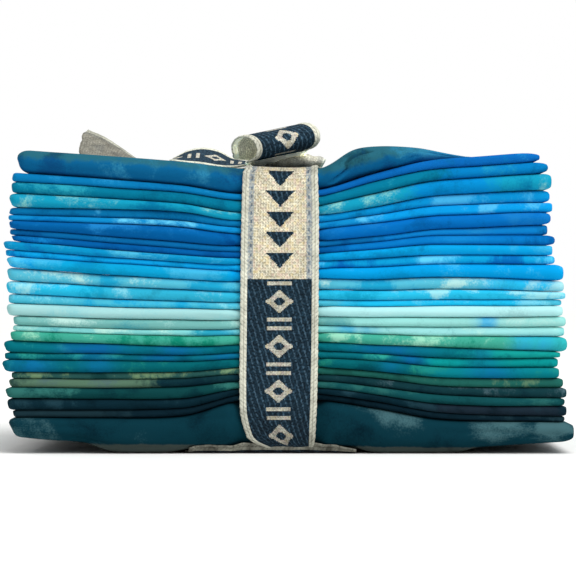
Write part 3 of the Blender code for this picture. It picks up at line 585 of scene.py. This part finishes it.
class Wire:
    # a node's output, which adds, multiplies and compares like a number
    def __init__(self, tree, socket):
        self.tree, self.socket = tree, socket

    def into(self, socket):
        self.tree.links.new(self.socket, socket)

    def __rsub__(self, other):
        return sums("SUBTRACT", other, self)

    __add__, __sub__, __mul__ = operator("ADD"), operator("SUBTRACT"), operator("MULTIPLY")
    __truediv__, __mod__, __abs__ = operator("DIVIDE"), operator("FLOORED_MODULO"), operator("ABSOLUTE")
    __lt__, __gt__ = operator("LESS_THAN"), operator("GREATER_THAN")


def addNode(tree, kind, inputs=None, **settings):
    node = tree.nodes.new("ShaderNode" + kind)
    for key, value in settings.items():
        setattr(node, key, value)
    for key, value in (inputs or {}).items():
        if isinstance(value, Wire):
            value.into(node.inputs[key])
        else:
            node.inputs[key].default_value = value
    return node


def wired(tree, kind, inputs=None, output=0, **settings):
    return Wire(tree, addNode(tree, kind, inputs, **settings).outputs[output])


def treeOf(values):
    # the material that the wires among the values belong to
    return next(value.tree for value in values if isinstance(value, Wire))


def sums(operation, *values):
    return wired(treeOf(values), "Math", dict(enumerate(values)), operation=operation)


def mixed(share, first, second):
    # two colours mixed, which are the node's inputs 6 and 7
    colours = {6: first, 7: second}
    for key, value in colours.items():
        colours[key] = value if isinstance(value, Wire) else (*value, 1)
    return wired(treeOf((share, first, second)), "Mix", {"Factor": share, **colours}, 2, data_type="RGBA")


def ramp(share, *stops):
    # a colour for each value, from stops of a place and a colour
    node = addNode(share.tree, "ValToRGB", {"Fac": share})
    places = node.color_ramp.elements
    while len(places) < len(stops):
        places.new(0.5)
    for place, (at, colour) in zip(places, stops):
        place.position = at
        place.color = (*colour, 1)
    node.color_ramp.interpolation = "EASE"
    return Wire(share.tree, node.outputs["Color"])


def stretched(value, low, high, least=0.0, most=1.0):
    # least at the low value, most at the high one, and no further
    ends = {"From Min": low, "From Max": high, "To Min": least, "To Max": most}
    return wired(value.tree, "MapRange", {"Value": value, **ends}, "Result")


def within(value, centre, half):
    return abs(value - centre) < half


def waves(value, pitch):
    return sums("SINE", value * (2 * pi / pitch))


def painted(tree, layer):
    # a value that the mesh carries at each point
    return wired(tree, "Attribute", {}, "Fac", attribute_name=layer)


def noiseOf(where, scale, detail=2.0, rough=0.5, bent=0.0):
    inputs = {"Vector": where, "Scale": scale, "Detail": detail, "Roughness": rough, "Distortion": bent}
    return wired(where.tree, "TexNoise", inputs, "Fac", noise_dimensions="2D")


def threadBands(where, axis, scale):
    inputs = {"Vector": where, "Scale": scale}
    kinds = {"wave_type": "BANDS", "bands_direction": axis, "wave_profile": "SIN"}
    return wired(where.tree, "TexWave", inputs, "Fac", **kinds)


def newMaterial(name):
    material = bpy.data.materials.new(name)
    material.use_nodes = True
    return material, material.node_tree, material.node_tree.nodes["Principled BSDF"]


def finished(shader, colour, roughness, gloss):
    colour.into(shader.inputs["Base Color"])
    shader.inputs["Roughness"].default_value = roughness
    shader.inputs["Specular IOR Level"].default_value = gloss


def bumped(shader, height, strength, distance):
    bump = {"Height": height, "Strength": strength, "Distance": distance}
    wired(height.tree, "Bump", bump, "Normal").into(shader.inputs["Normal"])


cotton = {
    "blotch": 34, "bleed": 120, "grain": 520, "speckle": 1300,  # scales of the uneven dye, coarse to fine
    "weave": 748,  # threads 0.42 mm apart
    "weaveBump": 0.16,
    "roughness": 0.9,
    "gloss": 0.02,
}


def dyedCotton(number, piece):
    # hand dyed cotton: soft blotches that bleed into each other, a fine speckle and a plain weave
    material, tree, shader = newMaterial(f"dyedCotton{number + 1:02d}")
    deep, body, pale = [linearColour(c) for c in piece["dyes"]]
    flat = wired(tree, "UVMap", uv_map="cloth")
    seed = (number * 0.731 + 0.2, number * 0.417 + 0.1, 0)
    where = wired(tree, "Mapping", {"Vector": flat, "Location": seed})
    blotch = noiseOf(where, cotton["blotch"], 2.5, 0.5, 0.7) - 0.5
    bleed = noiseOf(where, cotton["bleed"], 4.0, 0.55, 0.4) - 0.5
    grain = noiseOf(where, cotton["grain"], 4.0, 0.72) - 0.5
    speckle = noiseOf(where, cotton["speckle"], 1.0)
    mottle, fine = piece["mottle"], piece["mottle"] * piece["fine"]
    # the tone holds the dye's lighter and darker patches, and also painted light on each fold's upper edge
    # and painted shade in the top piece's creases
    toned = painted(tree, "toneAndPaintedLight") * 0.42 + 0.5
    toned = toned + blotch * (1.8 * mottle) + bleed * (1.2 * fine) + grain * (0.62 * fine)
    toned = toned + (speckle - 0.5) * (0.2 + 0.08 * mottle)
    ground = ramp(toned, (0.02, deep), (0.46, body), (0.58, body), (1.0, pale))
    other = linearColour(piece["turned"][0])
    otherDeep = shade(other, 0.5 if number == 0 else 0.75)
    otherPale = [a + (b - a) * 0.6 for a, b in zip(other, pale)]
    second = ramp(toned, (0.05, otherDeep), (0.45, other), (0.62, other), (1.0, otherPale))
    turned = painted(tree, "turned")
    broken = bleed * 1.3 + grain * 0.7 + blotch * 0.9
    wander = broken * sums("MINIMUM", turned * 8.0, 1.0) + turned
    colour = mixed(stretched(wander, 0.2, 0.8), ground, second)
    third, patches = piece["accents"]
    if patches:
        spread = painted(tree, "accent") * (broken * 1.1 + 1.0)
        spread = sums("MINIMUM", sums("MAXIMUM", spread, 0.0), 0.9)
        colour = mixed(spread, colour, linearColour(third))
    finished(shader, colour, cotton["roughness"], cotton["gloss"])
    weave = threadBands(flat, "X", cotton["weave"]) * threadBands(flat, "Y", cotton["weave"])
    bumped(shader, weave + speckle * 0.8, cotton["weaveBump"], 0.08 * mm)
    return material


pieces = []
for number, piece in enumerate(fatQuarters):
    obj = foldedCloth(number, piece, dyedCotton(number, piece))
    pieces.append(obj)
for number, obj in enumerate(pieces):
    below = [pieces[number + 1]] if number + 1 < len(pieces) else []
print("fat quarters folded:", len(pieces))


ribbon = {
    "width": 31.0,
    "thick": 0.8,  # its drawn thickness
    "lift": 0.55,  # of the ribbon's middle over the solid's inner face
    "cord": 2.4,  # width of the corded edge
    "cordRise": 0.3,
    "stitch": 1.7,  # from one to the next along the corded edge
    "scallop": 0.007,  # of the edge, from stitch to stitch
    "step": 1.1,  # size of the mesh along it
    "thread": (1.1, 1.15),  # from thread to thread across and along
    "pictureStep": (0.55, 0.5),  # a woven picture's edge moves in these
    "panels": (46.0, 72.0),  # cream, then navy, and again
    "line": (11.9, 1.2),  # the pale line: its place from the middle, and half width
    "dash": (11.7, 0.38, 3.3),  # the stitches along it, and from one to the next
    "paintedGrooveShade": (14.2, 0.17),  # painted shade in the groove between the two strands of the corded edge
    "slant": (3.4, 7.6),  # steepness of the lighter threads on navy, and from one to the next
    "roughness": 0.88,
    "gloss": 0.1,
}
figure = {
    "triangles": (8.2, 5.9, 0.92),  # on cream: from one to the next, half width, slope
    "column": 20.4,  # half the length of a column of them
    "lozenges": (18.0, 5.6, 4.6, 0.42),  # on navy: from one to the next, half width, half length, hollow
    "bars": (7.2, 0.75, 5.2),  # place from a lozenge's middle, half thickness, half width
    "bare": (-10.0, 6.5),  # middle and half length of the bare place beneath the roll
}
ribbonColours = {
    "cream": "cdc8b2", "gap": "8d7b5e", "warm": "dcc07c", "pink": "cfa596",
    "navy": "152733", "thread": "4b6678", "line": "82909a", "dash": "4a5a68",
    # the groove colour is painted shade between the two strands of the corded edge
    "edge": "c9c9b9", "paintedGrooveShade": "6f6a5a", "reverse": "a09f94",
}
# Places on the ribbon are its middle, and half of its width as a vector.
roll = {"centre": (-5.0, -50.0, 126.2), "turned": 33, "raised": 12, "deep": 8.9, "high": 4.5}
rollUnder = [(-2, -29, 118.6, (8, 3, 0.6)), (-5.5, -39, 119.6, (11.5, 6.4, 1.8))]
rollOver = [
    (-10, -39.6, 121.8, (11.6, 7.2, 2.4)), (-7, -34, 120.6, (9, 4.5, 1)),
    (-2, -28, 119.9, (8, 3, 0.6)),
]
leftLoop = [
    (-6, -26, 119.9, (2, 9, 0.6)), (-16, -26.5, 118.4, (1, 13.5, 1.6)),
    (-23.6, -27, 118.4, (0, 15.2, 2.6)), (-29.7, -27, 120.1, (0, 15, 4)),
    (-35.9, -27, 121.2, (0, 15, 4.1)), (-42, -27, 121, (0, 15.1, 3.3)),
    (-46.5, -27, 120.2, (0, 15.4, 1.8)), (-48.8, -27, 119.6, (0, 15.5, 0.8)),
    (-46.8, -27, 118.8, (0, 15.5, 0)), (-42, -27, 118.2, (0, 15.5, -0.1)),
    (-34, -27, 116.9, (0, 15.5, -0.2)), (-22, -27, 115.9, (0, 15.5, -0.2)),
    (-6, -26, 117, (2, 9, 0)),
]
leftTail = [
    (-4, -19, 118.2, (5, 5, 0)), (-9, -4, 117.5, (8, 6, 0.2)),
    (-20, 3, 117, (7, 12, 0.3)), (-34, 8, 117.2, (4.5, 14.5, 0.3)),
    (-50, 12, 118.6, (3, 15.1, 0.3)), (-64, 15, 119.9, (1.5, 15.2, 0.6)),
    (-70, 16.2, 121.8, (1, 15.1, 2.4)), (-76, 17.2, 124.6, (0.8, 14.9, 4)),
    (-83, 18.2, 127.3, (0.4, 14.2, 6)), (-91, 19, 129.5, (0, 13.2, 7.2)),
]
underTail = [
    (28, -53.4, 0.1, (0.6, 15.5, 0)), (-10, -53.2, 0.1, (0.6, 15.5, 0)),
    (-41, -52.8, 0.1, (0.6, 15.5, 0)),
]
underCurl = (  # x and rise of its upturned front edge
    (-41, 1.4), (-32, 2.5), (-24, 2.2), (-14, 3.3), (0, 3.5), (10, 3.2), (18, 2.4), (24, 1.3), (28, 0.4))
band = {"out": 0.3, "topTurn": 4.5, "bottomTurn": 5, "backTurn": 3, "under": 2.6}
knot = {"centre": (0.8, -28.0, 119.0), "long": 17.6, "deep": 12.5, "high": 3.2, "pleats": 5, "mesh": (40, 72)}


def bandPlaces():
    # once around the stack, from under the knot: over the front, down, under, up the back and over
    press, under = cloth["pressed"] + band["out"], band["under"]
    turnTop, turnBottom, turnBack = band["topTurn"], band["bottomTurn"], band["backTurn"]
    way = []  # y, z over or under the stack, whether it follows the top, left x, right x
    for y, right in ((-20, 14.4), (-30, 14.2), (-40, 13.6), (-50, 12.6), (-58, 11.8)):
        way.append((y, 0.0, True, max(-17.0, right - 31), right))
    for y, z in arcPoints((-press + turnTop, -turnTop), turnTop, turnTop, 90, 180, 6):
        way.append((y, z, True, -17.2 + 0.1 * (z + 4.5) - 0.8 * (z < -2), 11.8))
    for z in (98, 84, 70, 58, 45, 32, 20, 14):
        way.append((-press, z, False, *ribbonSides(z)))
    for y, z in arcPoints((-press + turnBottom, under + turnBottom), turnBottom, turnBottom, 180, 270, 6):
        way.append((y, z, False, *ribbonSides(max(z, 3.0))))
    for share in (0.15, 0.4, 0.7, 0.92):
        y = -press + turnBottom + (2 * press - turnBottom - turnBack) * share
        way.append((y, under, False, -13.6 - 1.4 * share, 10.6 + 1.4 * share))
    for y, z in arcPoints((press - turnBack, under + turnBack), turnBack, turnBack, -90, 0, 5):
        way.append((y, z, False, -15.3, 12.2))
    for z in (20, 45, 70, 95):
        way.append((press, z, False, -15.6 - z / 55, 12.4))
    for y, z in arcPoints((press - turnBack, -turnBack), turnBack, turnBack, 0, 90, 5):
        way.append((y, z, True, -17.7, 12.4))
    for y in (48, 30, 12, -6, -20, -32):
        way.append((y, 0.25 if y < 0 else 0.0, True, -17.8, 12.3))
    return way


def between(points, i, t):
    # a row of numbers on the smooth line through the rows, a share t past row i
    row = []
    for p, q, r, s in zip(*[points[min(len(points) - 1, max(0, k))] for k in (i - 1, i, i + 1, i + 2)]):
        bend, twist = 2 * p - 5 * q + 4 * r - s, 3 * q - p - 3 * r + s
        row.append(0.5 * (2 * q + (r - p) * t + bend * t * t + twist * t ** 3))
    return row


def smoothRows(points):
    # rows of numbers along a smooth line through the given rows, an even step apart by their first three
    fine = [between(points, i, t / 12) for i in range(len(points) - 1) for t in range(12)]
    fine.append(list(points[-1]))
    lengths = [0.0]
    for a, b in zip(fine, fine[1:]):
        lengths.append(lengths[-1] + (Vector(b[:3]) - Vector(a[:3])).length)
    count = max(2, round(lengths[-1] / ribbon["step"]))
    rows, k = [], 0
    for n in range(count + 1):
        wanted = lengths[-1] * n / count
        while k < len(fine) - 2 and lengths[k + 1] < wanted:
            k += 1
        t = (wanted - lengths[k]) / max(1e-9, lengths[k + 1] - lengths[k])
        rows.append([a + (b - a) * min(1, t) for a, b in zip(fine[k], fine[k + 1])])
    return rows, lengths[-1]


def stripRows(places):
    # places of a stretch in the bow made into evenly spaced rows
    return smoothRows([[x, y, z, *across, 0.0] for x, y, z, across in places])


def bandRows():
    # the band's places made into evenly spaced rows, which end in 1 where they follow the top piece
    points = []
    for y, z, onTop, left, right in bandPlaces():
        middle = (left + right) / 2
        height = z + topOf(0, middle) + band["out"] if onTop else z
        points.append([middle, y, height, -(right - left) / 2, 0.0, 0.0, float(onTop)])
    return smoothRows(points)


def rollPlaces():
    # the rolled loop, from under the knot, around an oval that is turned and raised, and back
    turned, raised = radians(roll["turned"]), radians(roll["raised"])
    along = Vector((cos(raised) * cos(turned), cos(raised) * sin(turned), sin(raised)))
    forward = Vector((sin(turned), -cos(turned), 0.0))
    up = along.cross(forward) * -1
    places = []
    for a, b in arcPoints((0, 0), roll["deep"], roll["high"], -90, 200, 18):
        middle = Vector(roll["centre"]) + forward * a + up * b
        places.append((*middle, along * ribbon["width"] / 2))
    return [*rollUnder, *places, *rollOver]


acrossShares = [-1, -0.985, -0.955, -0.92, -0.885, -0.86, -0.845, -0.8, -0.68, -0.52, -0.35, -0.18, 0]
acrossShares += [-share for share in reversed(acrossShares[:-1])]


def layStrip(mesh, rows, length, start, reverseUp=False, pleats=0.0, fray=False, curled=False,
             paintedShade=0.0, inner=0.0, plainAndPaintedLightUntil=0.0):
    # one stretch of the ribbon, from rows of its middle and half width. start is its place on the pattern.
    flatMap = mesh.loops.layers.uv["ribbon"]
    # The mesh carries painted light and shade: a level for the whole stretch that paints shade above 0 and
    # light below it, painted light on the plain start beneath the roll, painted shadow of the roll and
    # painted shade towards the bottom of the front.
    paintedLightAndShade, paintedInnerLight = [mesh.verts.layers.float[layer] for layer in ("paintedLightAndShade", "paintedInnerLight")]
    columns, last, half = len(acrossShares), len(rows) - 1, ribbon["width"] / 2
    made = bmesh.ops.create_grid(mesh, x_segments=columns - 1, y_segments=last, size=0.5)
    onward = (Vector(rows[-1][:3]) - Vector(rows[-2][:3])).normalized()
    flats = {}
    for vert in made["verts"]:
        column, row = gridPlace(vert, columns, last + 1)
        share = acrossShares[column]
        here, before, after = rows[row], rows[max(0, row - 1)], rows[min(last, row + 1)]
        middle, across = Vector(here[:3]), Vector(here[3:6])
        out = across.cross(Vector(after[:3]) - Vector(before[:3])).normalized()
        along = length * row / last
        narrow = max(0.0, 1 - across.length / half)
        rise = ribbon["lift"] + pleats * narrow * (cos(share * 3.2 * pi + 0.5) - 0.2)
        u = share * half
        inEdge = (half - abs(u)) / ribbon["cord"]
        if inEdge < 1:  # the corded edge stands a little proud, one stitch after another
            twist = 0.5 + 0.5 * sin(2 * pi * (along / ribbon["stitch"] + inEdge * 0.5))
            rise += ribbon["cordRise"] * sqrt(max(0, 1 - (2 * inEdge - 1) ** 2)) * (0.7 + 0.3 * twist)
        scallop = 1 + ribbon["scallop"] * sin(2 * pi * along / ribbon["stitch"]) * (abs(share) > 0.97)
        place = middle + across * share * scallop + out * rise
        if here[6] > 0:  # on top it follows the top fat quarter
            place.z += here[6] * (topOf(0, place.x) - topOf(0, middle.x))
        if curled:  # the front edge of the end under the bundle turns up
            turn = soft((-share - 0.76) / 0.24)
            curl = turn * alongCurve(*zip(*underCurl), place.x)
            place.z += curl * (1 + 0.2 * wobble(place.x / 4.2, 0.7, 2.1))
            place.y += turn * (0.5 - 0.5 * wobble(place.x / 5.5, 3.7, 1.1))
        if fray and row > last - 3:
            place += onward * wobble(share * 9, row, 2.2) * 1.2
            place -= onward * 2.0 * soft((abs(share) - 0.6) / 0.4) * (row - last + 3) / 3  # rounded corners
        vert.co = place * mm
        # painted light inside the rolled loop
        vert[paintedInnerLight] = inner
        # painted light lifts the plain start beneath the roll; painted shade darkens the ribbon towards the
        # bottom
        vert[paintedLightAndShade] = paintedShade - 1.4 * (along < plainAndPaintedLightUntil) + 0.35 * soft((26 - place.z) / 20) * (not curled)
        # painted shadow of the roll at the top of the front
        vert[paintedLightAndShade] += 0.3 * soft((place.z - 110) / 5) * soft((-place.y - 60) / 5)
        flats[vert] = (u * mm, (start + along) * mm)
    faces = {face for vert in made["verts"] for face in vert.link_faces}
    for face in faces:
        plain = max(flats[vert][1] for vert in face.verts) < (start + plainAndPaintedLightUntil) * mm
        face.material_index = 3 if plain else int(reverseUp)
    layFlat(faces, flatMap, flats)
    return length


def layKnot(mesh):
    # the turn of ribbon that holds the bow, gathered into pleats
    flatMap = mesh.loops.layers.uv["ribbon"]
    paintedLightAndShade = mesh.verts.layers.float["paintedLightAndShade"]
    across, around = knot["mesh"]
    made = bmesh.ops.create_grid(mesh, x_segments=across, y_segments=around, size=0.5)
    flats = {}
    for vert in made["verts"]:
        c, turn = vert.co.x * 2, (vert.co.y + 0.5) * 2 * pi
        slim = sqrt(1 - (c * 0.92) ** 2)
        pleat = 0.45 * sin(c * pi * knot["pleats"] + 0.8 * sin(turn)) + 0.3 * wobble(c * 3, turn, 1)
        deep, high = knot["deep"] * slim + pleat, knot["high"] * slim + pleat * 0.7
        x = knot["long"] * c * 0.8 + 0.8 * sin(turn)
        place = Vector(knot["centre"]) + Vector((x, -deep * cos(turn), high * sin(turn)))
        vert.co = place * mm
        # painted light on the knot, which sits in the roll's shadow, paler towards its right
        vert[paintedLightAndShade] = -0.66 - 0.3 * soft((place.x - 2) / 5)
        flats[vert] = (c * 14 * mm, (20 + turn * 8) * mm)
    faces = {face for vert in made["verts"] for face in vert.link_faces}
    for face in faces:
        face.material_index = 1
    layFlat(faces, flatMap, flats)
    seam = [vert for vert in made["verts"] if len(vert.link_faces) < 4]
    bmesh.ops.remove_doubles(mesh, verts=seam, dist=0.01 * mm)
    return 2 * pi * sqrt((knot["deep"] ** 2 + knot["high"] ** 2) / 2)


def threadSteps(value, pitch):
    # moves in whole threads
    return (sums("FLOOR", value / pitch) + 0.5) * pitch


def wovenRibbon(name, reverse=False):
    # canvas-like woven ribbon: cream and navy panels, corded edges, fine lines and a plain geometric figure
    material, tree, shader = newMaterial(name)
    colours = {key: linearColour(text) for key, text in ribbonColours.items()}
    cream, navy, edge, plain = [colours[key] for key in ("cream", "navy", "edge", "reverse")]
    flat = wired(tree, "UVMap", uv_map="ribbon")
    u, v = [wired(tree, "SeparateXYZ", {"Vector": flat}, axis) * 1000.0 for axis in "XY"]  # in millimetres
    side = abs(u)
    grain = noiseOf(flat, 1100, 2.0, 0.6)
    slub = noiseOf(flat, 260)
    stepU, stepV = [threadSteps(value, step) for value, step in zip((u, v), ribbon["pictureStep"])]
    stepSide = abs(stepU)
    creamLong, navyLong = ribbon["panels"]
    inRepeat = stepV % (creamLong + navyLong)

    # figure on the cream: a column of solid triangles, as in patchwork
    every, wide, slope = figure["triangles"]
    triangles = stepSide < (inRepeat - 2.5) % every * -slope + wide
    figureCream = triangles * within(inRepeat, creamLong / 2, figure["column"])

    # figure on the navy: lozenges between pairs of bars, but none beneath the roll
    every, wide, long, heart = figure["lozenges"]
    away = abs((inRepeat - creamLong) % every - every / 2)
    lozenge = stepSide / wide + away / long
    place, thick, wide = figure["bars"]
    bars = within(away, place, thick) * (stepSide < wide)
    figureNavy = sums("MAXIMUM", (lozenge < 1.0) - (lozenge < heart), bars)
    figureNavy = figureNavy * (1.0 - within(v, *figure["bare"]))

    # canvas ground: small dark gaps between its threads, and warm and pink flecks
    ground = ramp(grain, (0.3, shade(cream, 0.52)), (0.48, cream), (0.62, shade(cream, 1.3)))
    acrossGap, alongGap = [waves(value, step) * 0.5 + 0.5 for value, step in zip((u, v), ribbon["thread"])]
    gapShare = stretched((grain - 0.5) * 1.5 + acrossGap * alongGap, 0.4, 1.0, 0.0, 0.8)
    ground = mixed(gapShare, ground, colours["gap"])
    threadU, threadV = [threadSteps(value, step) for value, step in zip((u, v), ribbon["thread"])]
    cell = wired(tree, "CombineXYZ", {"X": threadU, "Y": threadV})
    fleck = wired(tree, "TexWhiteNoise", {"Vector": cell}, "Value", noise_dimensions="2D")
    ground = mixed(stretched(fleck, 0.6, 1.0, 0.0, 0.4), ground, colours["warm"])
    ground = mixed(stretched(fleck, 0.35, 0.0, 0.0, 0.4), ground, colours["pink"])

    # navy twill with lighter threads that run on a steep slant
    twill = ramp(grain, (0.3, shade(navy, 0.45)), (0.5, navy), (0.72, shade(navy, 1.9)))
    steepness, pitch = ribbon["slant"]
    slant = (grain - 0.5) * 2.6 + waves(u * steepness + v, pitch)
    twill = mixed(stretched(slant, 0.45, 1.25, 0.0, 0.6), twill, colours["thread"])
    navyPanel = mixed(figureNavy, twill, mixed(0.35, ground, colours["thread"]))

    # a pale line beside each corded edge, with dark stitches along it
    creamPanel = mixed(figureCream, ground, twill)
    lineShare = within(side, *ribbon["line"]) * stretched(grain, 0.25, 0.7, 1.0, 0.45)
    creamPanel = mixed(lineShare, creamPanel, colours["line"])
    place, half, pitch = ribbon["dash"]
    dash = sums("SINE", slub * 4.0 + v * (2 * pi / pitch))
    dashShare = within(side, place, half) * stretched(dash, 0.0, 0.5, 0.0, 0.75)
    creamPanel = mixed(dashShare, creamPanel, colours["dash"])
    colour = mixed(inRepeat > creamLong, creamPanel, navyPanel)

    # the corded edge, of two strands, with painted shade in the groove between them
    plait = waves(side * 0.9 + v, ribbon["stitch"])
    cordTone = plait * 0.16 + (grain * 0.7 + 0.15)
    cord = ramp(cordTone, (0.2, shade(edge, 0.55)), (0.45, edge), (0.8, shade(edge, 1.1)))
    cord = mixed(within(side, *ribbon["paintedGrooveShade"]) * 0.5, cord, colours["paintedGrooveShade"])
    onCord = side > ribbon["width"] / 2 - ribbon["cord"]
    colour = mixed(onCord, colour, cord)

    # slub makes it uneven; the painted light and shade that the mesh carries darken it where above 0 and
    # lighten it where below
    strength = 1.0 - ((slub - 0.5) * 0.8 + painted(tree, "paintedLightAndShade"))
    strength = sums("MAXIMUM", strength, 0.12)
    if reverse:  # the figure hardly shows through, and painted light makes the inside of the rolled loop pale
        melange = ramp(grain, (0.28, shade(plain, 0.5)), (0.5, plain), (0.7, shade(plain, 1.5)))
        melange = mixed(gapShare, melange, shade(plain, 0.35))
        drawnOut = wired(tree, "Mapping", {"Vector": flat, "Scale": (1, 0.07, 1)})
        streak = noiseOf(drawnOut, 900, 2.0, 0.6)
        melange = mixed(streak * 0.9, melange, shade(plain, 0.4))
        colour = mixed(onCord * -0.75 + 0.9, colour, melange)
        strength = strength * (painted(tree, "paintedInnerLight") * 1.8 + 1.0)
    colour = wired(tree, "VectorMath", {0: colour, "Scale": strength}, operation="SCALE")
    finished(shader, colour, ribbon["roughness"], ribbon["gloss"])
    rib = threadBands(flat, "X", 571) * threadBands(flat, "Y", 628)  # threads 0.55 and 0.5 mm apart
    bumped(shader, rib * 0.6 + (plait * 0.3 + slub), 0.5, 0.3 * mm)
    return material


ribbonMesh = bmesh.new()
ribbonMesh.loops.layers.uv.new("ribbon")
for layer in ("paintedLightAndShade", "paintedInnerLight"):
    ribbonMesh.verts.layers.float.new(layer)
stretches = [  # its rows and length, where it starts on the pattern, and how it lies
    (bandRows(), -45.6, {}),  # the length from under the knot to the top of the front
    # the roll and the left loop are painted lighter; the left tail has a little painted shade, and the end
    # under the bundle much more
    (stripRows(rollPlaces()), 38.8, {"pleats": 1.5, "paintedShade": -0.15, "inner": 1.0, "plainAndPaintedLightUntil": 20.5}),
    (stripRows(leftLoop), 48.0, {"pleats": 1.0, "paintedShade": -0.3}),
    (stripRows(leftTail), 60.0, {"reverseUp": True, "pleats": 1.0, "fray": True, "paintedShade": 0.2}),
    (stripRows(underTail), 52.0, {"reverseUp": True, "fray": True, "curled": True, "paintedShade": 0.66}),
]
used = 0.0
for (rows, length), start, way in stretches:
    used += layStrip(ribbonMesh, rows, length, start, **way)
used += layKnot(ribbonMesh)
face, reverse = wovenRibbon("wovenRibbonFace"), wovenRibbon("wovenRibbonReverse", True)
ribbonObject = placed(ribbonMesh, "ribbonTied", face, reverse, face, reverse, reverse)
thickened(ribbonObject, ribbon["thick"]).material_offset = 1
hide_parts("ribbon")
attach(ribbonObject, "root")
used * mm
print("ribbon tied:", round(used), "mm")


studio = {
    "floor": "f4f4f2",
    "ambient": 0.5,
    "backdrop": 1.0,
    "sun": 2.3,
    "sunTowards": (-0.4, 0.55, -1.3),
    "right": 3.0,  # watts of the soft light at the right front
    "back": 4,  # and of the one at the left back
}
material, tree, shader = newMaterial("paleFloor")
spot = noiseOf(wired(tree, "TexCoord", {}, "Object"), 14)
pale = linearColour(studio["floor"])
finished(shader, ramp(spot, (0.3, shade(pale, 0.985)), (0.7, pale)), 0.9, 0.1)
floorMesh = bmesh.new()
bmesh.ops.create_grid(floorMesh, x_segments=1, y_segments=1, size=6.0)
floor = placed(floorMesh, "studioFloor", material)

world = bpy.data.worlds.new("studio")
world.use_nodes = True
sky = world.node_tree.nodes["Background"]
sky.inputs["Color"].default_value = (1, 1, 1, 1)
sky.inputs["Strength"].default_value = studio["ambient"]
bpy.context.scene.world = world


def lightFrom(name, kind, place, aim, power, **settings):
    data = bpy.data.lights.new(name, kind)
    data.energy = power
    for key, value in settings.items():
        setattr(data, key, value)
    obj = shown(bpy.data.objects.new(name, data))
    obj.location = place
    obj.rotation_euler = (Vector(aim) - Vector(place)).to_track_quat("-Z", "Y").to_euler()


lightFrom("rightFront", "AREA", (0.6, -0.7, 0.6), (0.05, 0, 0.07), studio["right"], size=0.6)
lightFrom("leftBack", "AREA", (-0.9, 1.0, 0.9), (0, 0, 0.07), studio["back"], size=1.0)
lightFrom("softSun", "SUN", (0, 0, 0), studio["sunTowards"], studio["sun"], angle=radians(45))

glowing, tree, shader = newMaterial("paleBackdrop")
tree.nodes.remove(shader)
glow = wired(tree, "Emission", {"Strength": studio["backdrop"]})
glow.into(tree.nodes["Material Output"].inputs["Surface"])
domeMesh = bmesh.new()  # a pale dome that only the camera sees
bmesh.ops.create_icosphere(domeMesh, subdivisions=3, radius=8.0)
bmesh.ops.reverse_faces(domeMesh, faces=domeMesh.faces[:])
backdrop = placed(domeMesh, "paleBackdrop", glowing)
backdrop.visible_diffuse = backdrop.visible_glossy = backdrop.visible_shadow = False
backdrop.visible_transmission = backdrop.visible_volume_scatter = False
bpy.context.scene.view_settings.view_transform = "Standard"
print("floor and lights set")
